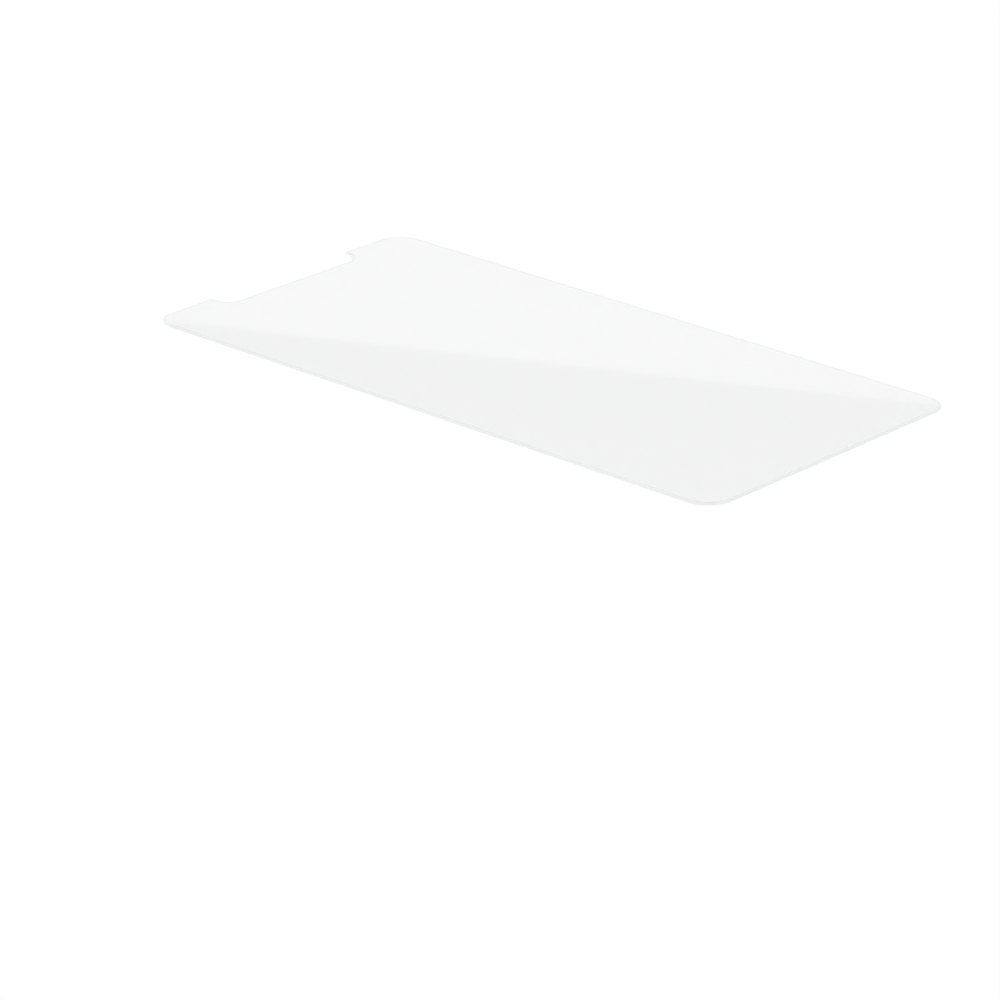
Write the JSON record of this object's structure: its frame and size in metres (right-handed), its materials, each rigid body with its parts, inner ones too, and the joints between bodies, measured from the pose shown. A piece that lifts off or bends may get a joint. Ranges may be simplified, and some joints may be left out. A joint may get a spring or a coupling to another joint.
{
  "type": "phone screen protector",
  "caption": "Clear tempered-glass phone screen protector: a thin flat sheet with rounded corners, a sensor notch in its top edge and a domed, polished rim.",
  "frame": {"origin": "middle of the outline's bounding box, on the adhesive underside", "axes": "+Z out of the screen, away from the adhesive; +Y along the length towards the notch; +X to the right for a person looking at the screen"},
  "size_m": [0.0676, 0.138, 0.0003],
  "materials": {
    "clear_glass": "clear, polished on both faces and on the domed rim"
  },
  "bodies": {
    "root": {"screen_protector": "clear_glass"}
  },
  "joints": []
}
